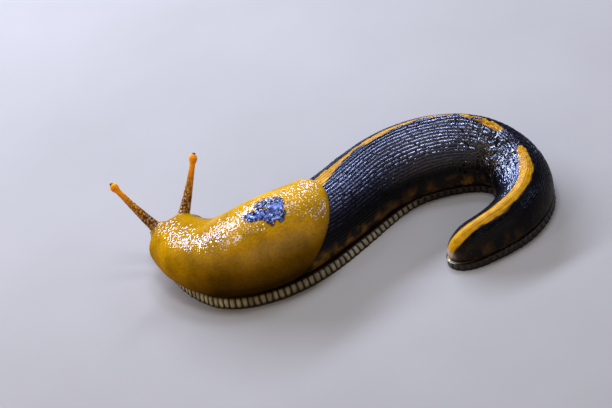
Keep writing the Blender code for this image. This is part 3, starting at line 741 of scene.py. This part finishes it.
def keel_mask(along, arc):
    """1 on the yellow line along the keel, falling off over its ragged edges."""
    half, shift = (np.interp(along, KEEL_LINE[:, 0], KEEL_LINE[:, n]) for n in (1, 2))
    ragged = 0.3 * MM * mottle(along / (1.3 * MM), arc / (0.9 * MM), 11)
    ragged = ragged + 0.25 * MM * mottle(along / (4 * MM), 0.0, 12)
    blotchy = 1.6 * MM * between(along, *BLOTCHY_KEEL)
    ragged = ragged + blotchy * np.minimum(mottle(along / (1.8 * MM), arc / (1.0 * MM), 13), 0)
    edge = half + np.clip(half / (0.5 * MM), 0, 1) * ragged - np.abs(arc - shift)
    soft = 0.35 * MM + 0.9 * MM * smooth((along - 106 * MM) / (6 * MM))
    return smooth(edge / soft + 0.5)


def low_flank(along, up):
    """1 low on the flanks behind the mantle, where the black skin is mottled brown."""
    low = smooth((6.0 * MM - (up - foot_height(along))) / (3.5 * MM)) * smooth((along - 40 * MM) / (5 * MM))
    low = low * (1 - 0.6 * bump_at(along - 74 * MM, 10 * MM))
    return low * (1 - 0.7 * smooth((along - 104 * MM) / (10 * MM)))


def wetness(along, arc, angle, depth, keel):
    """How thick the slime is: most of it lies high on the left flank and on the wrinkles' tops. It is thin
    beside the crest on the right, on the keel and outside the tail, and patchy at the bend. The same share
    lays the painted blue reflection of the sky on the wrinkles' tops."""
    higher = 20 * smooth((76 * MM - along) / (16 * MM))
    high = smooth((angle - 8 - higher) / 34) * smooth((168 - angle) / 40)
    outside = smooth((angle - 92) / 20) * smooth((along - 112 * MM) / (14 * MM))
    dry_crest = 0.7 - 0.6 * between(along, *WET_CREST)
    wet = 0.06 + 0.94 * high * (1 - 0.9 * outside) * (1 - dry_crest * bump_at(arc, 2 * MM))
    wet = wet * (1 - 0.95 * between(angle, 92, 132, 6, 14))
    wet = wet * (1 - 0.6 * smooth((14 * MM - along) / (4 * MM)))
    patchy = smooth(mottle(along / (2.6 * MM), arc / (1.9 * MM), 34) / 0.5 + 0.4)
    wet = wet * (1 - between(along, *PATCHY_SLIME) * (0.5 - 0.5 * patchy))
    wet = wet * (1 - 0.4 * smooth((along - 120 * MM) / (6 * MM)))
    wet = wet * (1 - 0.7 * smooth(depth / (0.9 * WRINKLE_DEPTH) - 0.15))
    wet = wet * (1 - 0.42 * smooth((90 * MM - along) / (16 * MM)))
    return wet * (1 - 0.8 * keel)


def face_relief(aside, up):
    """Two lips with the upright mouth between them, as distance forwards."""
    lips = LIP_RISE * bump_at(np.abs(aside) - LIP_APART, LIP_WIDTH) * bump_at(up - MOUTH_HEIGHT, LIP_LENGTH)
    mouth = MOUTH_DEPTH * bump_at(aside, MOUTH_WIDTH) * bump_at(up - MOUTH_HEIGHT, MOUTH_LENGTH)
    lines = 0.06 * MM * mottle(aside / (0.35 * MM), up / (1.4 * MM), 21) * bump_at(aside, 3.5 * MM)
    return lips - mouth + lines


def shape_face(rings):
    """Moves the skin of the snout into lips, mouth, furrow and the swellings at the tentacles."""
    way = heading(0.0)
    ahead = np.array([-np.cos(way), -np.sin(way), 0.0])
    left = np.array([np.sin(way), -np.cos(way), 0.0])
    offset = rings - place(0.0, 0.0, 0.0)
    aside, behind, up = offset @ left, -(offset @ ahead), rings[..., 2]
    forward = 1 - smooth((behind - 1.5 * MM) / (3 * MM))
    within = 1 - smooth((behind - 6 * MM) / (4 * MM))
    rings = rings + (face_relief(aside, up) * forward)[..., None] * ahead
    above_mouth = smooth((up - MOUTH_HEIGHT - 1 * MM) / (3 * MM))
    furrow = FURROW_DEPTH * bump_at(aside, FURROW_WIDTH) * above_mouth * within
    sunk = FURROW_SLANT * furrow
    rings[..., 2] -= sunk
    rings -= sunk[..., None] * ahead
    for side in STALK_DIRECTIONS:
        roots = ((stalk_line(side), STALK_SWELLING), (feeler_line(side), FEELER_SWELLING))
        for (root, direction), (rise, width, near) in roots:
            off_axis = np.linalg.norm(np.cross(rings - root, direction), axis=-1)
            nearby = np.linalg.norm(rings - root, axis=-1) < near
            rings = rings + (rise * bump_at(off_axis, width) * nearby)[..., None] * direction
    return rings


def make_body():
    """The trunk's skin from the snout to the tail's end."""
    snout = SNOUT_ROUNDING * (1 - np.cos(np.radians(np.arange(1.5, 90, 1.6 * FINE))))
    hidden = np.arange(SNOUT_ROUNDING + SKIN_STEP, HIDDEN_TO, HIDDEN_STEP)
    seen = np.arange(HIDDEN_TO, LENGTH - TAIL_ROUNDING, SKIN_STEP)
    tail = LENGTH - TAIL_ROUNDING + TAIL_ROUNDING * np.sin(np.radians(np.arange(0, 89.5, 2.0 * FINE)))
    along = np.concatenate([snout, hidden, seen, tail])[:, None]
    angles = np.linspace(-UNDERCUT_ANGLE, 180 + UNDERCUT_ANGLE, ARCH_POINTS)[None, :]
    left, up = trunk_outline(along, angles)
    _, arc = run_and_arc(angles, left, up)
    depth, top = wrinkles(along, arc, angles)
    relief = SAG_DEPTH * np.minimum(mottle(along / (6 * MM), arc / (4 * MM), 31), 0)
    relief = relief * smooth((along - 50 * MM) / (10 * MM)) - creases(along, arc)
    beaded = between(along, *BEADED) * smooth(arc / (2 * MM))
    relief = relief + BEAD_HEIGHT * beaded * mottle(along / (0.8 * MM), arc / (0.7 * MM), 35)
    arch = place(along, *outline_offset(along, angles, relief - depth))
    left_edge, _ = trunk_outline(along, -UNDERCUT_ANGLE)
    right_edge, base = trunk_outline(along, 180 + UNDERCUT_ANGLE)
    shares = np.linspace(0, 1, 9)[1:-1]
    underside = place(along, right_edge + (left_edge - right_edge) * shares, base + 0 * shares)
    rings = np.concatenate([arch, underside], axis=1)
    front = along[:, 0] < 14 * MM
    rings[front] = shape_face(rings[front])
    beneath = ((0, 0), (0, len(shares)))
    keel = keel_mask(along, arc) * smooth((along - 46 * MM) / (2 * MM))
    # Pale slime low on the tail's blunt end, painted paler as a highlight.
    slime = 0.8 * bump_at(along - LENGTH, 0.8 * MM) * bump_at(up - 4.2 * MM, 0.9 * MM)
    masks = {
        "wet": np.pad(wetness(along, arc, angles, depth, keel), beneath, mode="edge"),
        "wrinkle_top": np.pad(top, beneath),
        "keel_line": np.pad(keel, beneath),
        "low_flank": np.pad(low_flank(along, up), beneath, mode="edge"),
        "head": np.broadcast_to(1 - smooth((along - 30 * MM) / (6 * MM)), rings.shape[:2]),
        "tail_slime": np.pad(slime, beneath),
    }
    return skin_mesh("body_skin", rings, masks)


def spaced_at_ends(count, power=1.6):
    """Shares from 0 to 1, closer together at both ends."""
    t = np.linspace(-1, 1, count)
    return 0.5 + 0.5 * np.sign(t) * (1 - (1 - np.abs(t)) ** power)


def hem_angle(along):
    """The angle on the left side of the mantle's free edge, by halving steps."""
    brow = np.maximum(1 - (along - MANTLE_FRONT) / MANTLE_BROW_LENGTH, 0.0)
    height = MANTLE_HEM_HEIGHT + MANTLE_BROW_RISE * brow**2
    low, high = np.full_like(along, -UNDERCUT_ANGLE), np.full_like(along, 90.0)
    for _ in range(24):
        middle = (low + high) / 2
        under = trunk_outline(along, middle)[1] < height
        low, high = np.where(under, middle, low), np.where(under, high, middle)
    return low


def blotch_mask(along, arc):
    """The dark blotch and specks round it: up to 0.5 at its ragged edge, up to 1 in its marbled inside,
    which is painted pale blue as a reflection of the sky.
    """
    ragged = 0.4 * mottle(along / (1.2 * MM), arc / (1.2 * MM), 43)
    ragged = ragged + 0.2 * mottle(along / (0.5 * MM), arc / (0.5 * MM), 44)
    spot = np.zeros_like(along)
    for centre, left, reach, width in BLOTCH:
        far = np.hypot((along - centre) / reach, (arc - left) / width)
        deep = smooth((0.9 + 0.5 * ragged - far) / 0.3) * smooth((arc - 0.2 * MM) / (2.2 * MM))
        spot = np.maximum(spot, 0.5 * smooth((1 + ragged - far) / 0.45) + 0.5 * deep)
    specks = smooth((mottle(along / (0.5 * MM), arc / (0.5 * MM), 45) - 0.7) / 0.2)
    from_centre = np.hypot(along - SPECKS_AT[0], (arc - SPECKS_AT[1]) * 0.8)
    return np.maximum(spot, 0.5 * specks * bump_at(from_centre, SPECKS_REACH))


def make_mantle():
    """The cape: a thick skin that ends in a rounded rim all round, with the breathing pore."""
    back_share = spaced_at_ends(round(230 / FINE))[:, None]
    share = spaced_at_ends(round(280 / FINE))[None, :]
    rough_angle = -10 + 200 * share
    front = MANTLE_FRONT - MANTLE_BROW * bump_at(rough_angle - 90, 20)
    along = front + (mantle_back(rough_angle) - front) * back_share
    start = hem_angle(along)
    angle = start + (180 - 2 * start) * share
    left, up = trunk_outline(along, angle)
    run, arc = run_and_arc(angle, left, up)
    ends = (along - front, (mantle_back(rough_angle) - along) * 0.9, np.minimum(run, run[:, -1:] - run))
    nearest = sum((end + 1e-6) ** -4 for end in ends) ** -0.25
    rim = np.sqrt(1 - (1 - np.clip(nearest / MANTLE_RIM, 0, 1)) ** 2)
    waves = MANTLE_WAVE * mottle(along / (5 * MM), arc / (4 * MM), 41)
    waves = waves + MANTLE_RIPPLE * mottle(along / (2 * MM), arc / (2 * MM), 42)
    pore_at = place(PORE_ALONG, *trunk_outline(PORE_ALONG, PORE_ANGLE))
    to_pore = np.linalg.norm(place(along, left, up) - pore_at, axis=-1)
    pore = smooth((PORE_RADIUS - to_pore) / PORE_EASE + 0.5)
    pore_rim = bump_at(to_pore - PORE_RADIUS * 1.5, PORE_EASE)
    cleft = bump_at(along - PORE_ALONG, CLEFT_WIDTH) * smooth((angle - PORE_ANGLE) / 6) * (1 - pore)
    proud = (MANTLE_PROUD + np.minimum(waves, MANTLE_WAVE_TOP)) * rim
    proud = proud + PORE_RIM * pore_rim - PORE_DEPTH * pore - CLEFT_DEPTH * cleft
    outer = place(along, *outline_offset(along, angle, np.maximum(proud, 0)))
    inner = place(along, *outline_offset(along, angle, -MANTLE_ROOT))
    blank = np.zeros_like(along)
    sheltered = between(angle, 94, 136, 14, 14)
    masks = {
        "blotch": np.concatenate([blotch_mask(along, arc), blank], axis=1),
        "pore": np.concatenate([np.maximum(pore, 0.6 * cleft), blank], axis=1),
        "sheltered": np.concatenate([sheltered, blank], axis=1),
    }
    return skin_mesh("mantle_cape", np.concatenate([outer, inner[:, ::-1]], axis=1), masks, folded=True)


def sole_half_width(along):
    """Half width of the foot at its edge."""
    front = np.clip((along - FOOT_FRONT) / FOOT_FRONT_ROUNDING, 0, 1)
    rounding = np.sqrt(1 - (1 - front) ** 2) * tail_rounding(along, LENGTH + FOOT_TAIL_OVERHANG)
    middle = np.clip(along, SNOUT_ROUNDING, LENGTH - TAIL_ROUNDING)
    width = half_width(middle) * through(FOOT_SHARES, along, 1) + 0.15 * MM
    return np.maximum(width * rounding, FOOT_LEAST_HALF_WIDTH)


def make_foot():
    """The foot: a flat sole with an edge of upright folds, rolled over at the top."""
    end = LENGTH + FOOT_TAIL_OVERHANG
    snout = FOOT_FRONT + FOOT_FRONT_ROUNDING * (1 - np.cos(np.radians(np.arange(0.3, 60, 1.5 * FINE))))
    tail = end - TAIL_ROUNDING + TAIL_ROUNDING * np.sin(np.radians(np.arange(1, 89.5, 2.0 * FINE)))
    middle = np.arange(snout[-1] + 0.2 * MM, tail[0], 0.2 * MM * FINE)
    along = np.concatenate([snout, middle, tail])[:, None]
    turns = np.radians(np.linspace(0, 90, round(26 / FINE) + 4))[None, :]
    half, height = sole_half_width(along), foot_height(along)
    # The folds end at the crease between the foot and the trunk
    crease = np.minimum(half_width(np.minimum(along, LENGTH - TAIL_ROUNDING)) * 0.86, half * 0.93)
    curl = FOOT_CURL_SHARE * curl_bulge(along)
    bulge = np.cos(turns) ** 0.55
    calm = 1 - 0.7 * smooth((turns - 1.15) / 0.4)
    # Painted shade: darker under the folds' rolled top, along their bottom edge and towards the tail.
    rear = 0.32 * smooth((along - 20 * MM) / (16 * MM)) + 0.55 * smooth((along - 76 * MM) / (16 * MM))
    edges = 0.7 * smooth((turns - 1.1) / 0.4) + 0.5 * smooth((0.35 - turns) / 0.3)
    shade = np.clip(edges + rear, 0, 1)
    sides, grooves = [], []
    for side, seed in ((1, 51), (-1, 52)):
        bend = curl * (side > 0)
        edge = place(along, side * half + bend, 0.0)[:, 0]
        run = np.concatenate([[0], np.cumsum(np.linalg.norm(np.diff(edge, axis=0), axis=1))])[:, None]
        drift = 0.3 * mottle(run / (9 * MM), 0.0, seed)
        drift = drift + 0.1 * mottle(run / (2.3 * MM), turns * 1.2, seed + 2)
        fold = run / FOLD_PITCH + drift
        groove = 1 - np.sqrt(1 - 0.98 * np.abs(2 * (fold - np.floor(fold)) - 1) ** GROOVE_POWER)
        begun = smooth(run / (1.2 * MM))
        cut = FOLD_DEPTH * groove * calm * begun * (0.4 + 0.6 * smooth(turns / 0.25))
        swell = FOLD_SWELL * dice(np.floor(fold), 0 * fold, seed + 4) * begun
        reach = crease + (half + 0.1 * MM * begun - crease) * bulge - cut - swell * bulge
        sides.append(place(along, side * (reach + bend), height * np.sin(turns) ** 0.85))
        # Painted shade in the grooves between the folds.
        grooves.append(smooth((groove - 0.06) / 0.24) * (0.3 + 0.7 * calm) * begun)
    shares = np.linspace(0, 1, 9)[1:-1]
    top = place(along, crease + curl - (2 * crease + curl) * shares, height - 0.2 * MM + 0 * shares)
    sole = place(along, (2 * half + curl) * shares - half, 0 * shares)
    rings = np.concatenate([sides[0], top, sides[1][:, ::-1], sole], axis=1)
    blank = np.zeros((len(along), len(shares)))
    masks = {
        "groove": np.concatenate([grooves[0], blank, grooves[1][:, ::-1], blank], axis=1),
        "shade": np.concatenate([shade, blank, shade[:, ::-1], blank], axis=1),
    }
    return skin_mesh("foot_fringe", rings, masks)


def aim(along, rise, turn):
    """A direction that rises above level and turns to the left of straight ahead, in degrees."""
    way, rise, turn = heading(along), np.radians(rise), np.radians(turn)
    ahead, left = np.array([-np.cos(way), -np.sin(way), 0]), np.array([np.sin(way), -np.cos(way), 0])
    level = ahead * np.cos(turn) + left * np.sin(turn)
    return level * np.cos(rise) + np.array([0, 0, np.sin(rise)])


def stalk_line(side):
    """Root and direction of an upper tentacle."""
    angle = STALK_ANGLE if side == "left" else 180 - STALK_ANGLE
    return place(STALK_ALONG, *trunk_outline(STALK_ALONG, angle)), aim(STALK_ALONG, *STALK_DIRECTIONS[side])


def feeler_line(side):
    """Root and direction of a lower tentacle."""
    angle, turn = (FEELER_ANGLE, FEELER_TURN) if side == "left" else (180 - FEELER_ANGLE, -FEELER_TURN)
    return place(FEELER_ALONG, *trunk_outline(FEELER_ALONG, angle)), aim(FEELER_ALONG, FEELER_RISE, turn)


def tube_rings(centres, direction, radii):
    """Circles of points round centres, square to a direction, with a radius for each point."""
    turn = np.array(Vector(direction).to_track_quat("Z", "X").to_matrix())
    around = np.linspace(0, 2 * np.pi, radii.shape[1], endpoint=False)
    circle = np.stack([np.cos(around), np.sin(around), 0 * around], axis=-1) @ turn.T
    return centres[:, None, :] + radii[..., None] * circle[None, :, :]


def dome(reach, share):
    """The rounding of a tentacle's end, which takes up a share of its length."""
    return np.maximum(np.sqrt(1 - np.clip((reach - (1 - share)) / share, 0, 1) ** 2), 0.02)


def make_stalk(side):
    """An upper tentacle: a tapered stalk with faint rings, and a bulb that closes round the eye."""
    root, direction = stalk_line(side)
    tip = 1 - STALK_DOME * np.cos(np.radians(np.arange(4, 89, 5)))
    reach = np.concatenate([np.linspace(-STALK_ROOT, 0.94, round(150 / FINE)), tip])[:, None]
    share = np.clip(reach, 0, 1)
    centres = root + direction * (STALK_LENGTH * reach)
    centres[:, 2] -= STALK_SAG * np.sin(np.pi * share[:, 0])
    taper = np.maximum(1 - share / STALK_TAPER_END, 0) ** 1.2
    radii = STALK_RADIUS + (STALK_BASE_RADIUS - STALK_RADIUS) * taper + 0.22 * MM * bump_at(reach, 0.05)
    radii = radii + (STALK_BULB_RADIUS - STALK_RADIUS) * bump_at(reach - STALK_BULB_AT, STALK_BULB_REACH)
    around = np.linspace(0, 1, 44, endpoint=False)[None, :]
    grains = 0.05 * MM * mottle(reach * STALK_LENGTH / (0.5 * MM), 12 * np.abs(around - 0.5), 61 + len(side))
    folds = -0.04 * MM * np.abs(np.sin(reach * STALK_LENGTH / (0.5 * MM))) ** 6
    radii = (radii + (grains + folds) * (1 - share)) * dome(reach, STALK_DOME)
    masks = {"reach": np.broadcast_to(share, radii.shape)}
    return skin_mesh(f"stalk_{side}", tube_rings(centres, direction, radii), masks)


def make_feeler(side):
    """A lower tentacle: short and blunt."""
    root, direction = feeler_line(side)
    tip = 1 - FEELER_DOME + FEELER_DOME * np.sin(np.radians(np.arange(6, 90, 6)))
    reach = np.concatenate([np.linspace(-FEELER_ROOT, 1 - FEELER_DOME, round(50 / FINE)), tip])[:, None]
    centres = root + direction * (FEELER_LENGTH * reach)
    radii = FEELER_RADIUS + (FEELER_TIP_RADIUS - FEELER_RADIUS) * smooth(reach / 0.8)
    radii = radii + 0.3 * MM * bump_at(reach, 0.12)
    around = np.linspace(0, 1, 36, endpoint=False)[None, :]
    grains = 0.04 * MM * mottle(reach * FEELER_LENGTH / (0.45 * MM), 10 * np.abs(around - 0.5), 71)
    radii = (radii + grains) * dome(reach, FEELER_DOME)
    masks = {"reach": np.broadcast_to(0.1 + 0.5 * np.clip(reach, 0, 1), radii.shape)}
    return skin_mesh(f"feeler_{side}", tube_rings(centres, direction, radii), masks)


def make_eye(side, black):
    """A glossy bead set in the tip of an upper tentacle."""
    root, direction = stalk_line(side)
    centre = root + direction * (STALK_LENGTH - EYE_RADIUS * 0.5)
    turns = np.radians(np.arange(4, 177, 6))[:, None]
    centres = centre - direction * (EYE_RADIUS * np.cos(turns))
    rings = tube_rings(centres, direction, EYE_RADIUS * np.sin(turns) + np.zeros((1, 32)))
    eye = skin_mesh(f"eye_bead_{side}", rings, {})
    eye.data.materials.append(black)
    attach(eye, "root")
    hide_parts(f"eye_{side}")


def unite_skin(skin, pieces):
    """Fuses closed pieces of skin to the first, so that one unbroken skin is left."""
    collection = bpy.data.collections.new("pieces_of_skin")
    bpy.context.scene.collection.children.link(collection)
    for piece in pieces:
        bpy.context.scene.collection.objects.unlink(piece)
        collection.objects.link(piece)
    union = skin.modifiers.new("one_skin", "BOOLEAN")
    union.operation = "UNION"
    union.operand_type = "COLLECTION"
    union.collection = collection
    union.solver = "MANIFOLD"
    graph = bpy.context.evaluated_depsgraph_get()
    mesh = bpy.data.meshes.new_from_object(skin.evaluated_get(graph))
    skin.modifiers.clear()
    skin.data = mesh
    for piece in pieces:
        bpy.data.objects.remove(piece)
    bpy.data.collections.remove(collection)


def make_slug():
    """One skin over the whole animal, and the two eyes."""
    tentacles = [make(side) for side in STALK_DIRECTIONS for make in (make_stalk, make_feeler)]
    body, *pieces = make_body(), make_mantle(), make_foot(), *tentacles
    skins = (back_skin(), mantle_skin(), foot_skin(), tentacle_skin())
    for number, piece in enumerate((body, *pieces)):
        for skin in skins:
            piece.data.materials.append(skin)
        which = np.full(len(piece.data.polygons), min(number, len(skins) - 1), dtype=np.int32)
        piece.data.polygons.foreach_set("material_index", which)
    unite_skin(body, pieces)
    body.name = "slug_skin"
    black = eye_black()
    for side in STALK_DIRECTIONS:
        make_eye(side, black)
    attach(body, "root")
    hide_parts(*(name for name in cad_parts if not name.startswith("eye_")))


def make_camera():
    """The camera looks down on the animal's left side, its head on the left."""
    rise, roll = np.radians(CAMERA_RISE), np.radians(CAMERA_ROLL)
    forward = Vector((0, np.cos(rise), -np.sin(rise)))
    right, up = Vector((1, 0, 0)), Vector((0, np.sin(rise), np.cos(rise)))
    tilted_right = right * np.cos(roll) - up * np.sin(roll)
    tilted_up = right * np.sin(roll) + up * np.cos(roll)
    camera = new_object("camera", bpy.data.cameras.new("camera"))
    turn = Matrix((tilted_right, tilted_up, -forward)).transposed().to_4x4()
    camera.matrix_world = Matrix.Translation(Vector(CAMERA_TARGET) - forward * CAMERA_DISTANCE) @ turn
    camera.data.sensor_width = CAMERA_SENSOR
    camera.data.lens = CAMERA_LENS
    camera.data.clip_start = 0.01
    bpy.context.scene.camera = camera


def add_softbox(name, at, size, power, colour):
    """A rectangular lamp that points at the middle of the animal."""
    data = bpy.data.lights.new(name, "AREA")
    data.shape = "RECTANGLE"
    data.size, data.size_y = size
    data.energy = power
    data.color = linear(colour)[:3]
    lamp = new_object(name, data)
    lamp.location = at
    lamp.rotation_euler = (-Vector(at)).to_track_quat("-Z", "Y").to_euler()


def make_studio():
    """A pale floor under cool softboxes overhead, behind, on the ridge and on both sides, with large
    warm fills in front and on the left."""
    mesh = bpy.data.meshes.new("studio_floor")
    corners = [(x * FLOOR_REACH, y * FLOOR_REACH, 0) for x, y in ((-1, -1), (1, -1), (1, 1), (-1, 1))]
    mesh.from_pydata(corners, [], [(0, 1, 2, 3)])
    floor = new_object("studio_floor", mesh)
    mesh.materials.append(floor_plaster())
    for softbox in SOFTBOXES:
        add_softbox(*softbox)
    world = bpy.data.worlds.new("studio_air")
    world.use_nodes = True
    air = world.node_tree.nodes["Background"].inputs
    air["Color"].default_value = linear(AIR_COLOUR)
    air["Strength"].default_value = AIR_STRENGTH
    bpy.context.scene.world = world
    bpy.context.scene.view_settings.view_transform = "Standard"


make_camera()
make_studio()
make_slug()
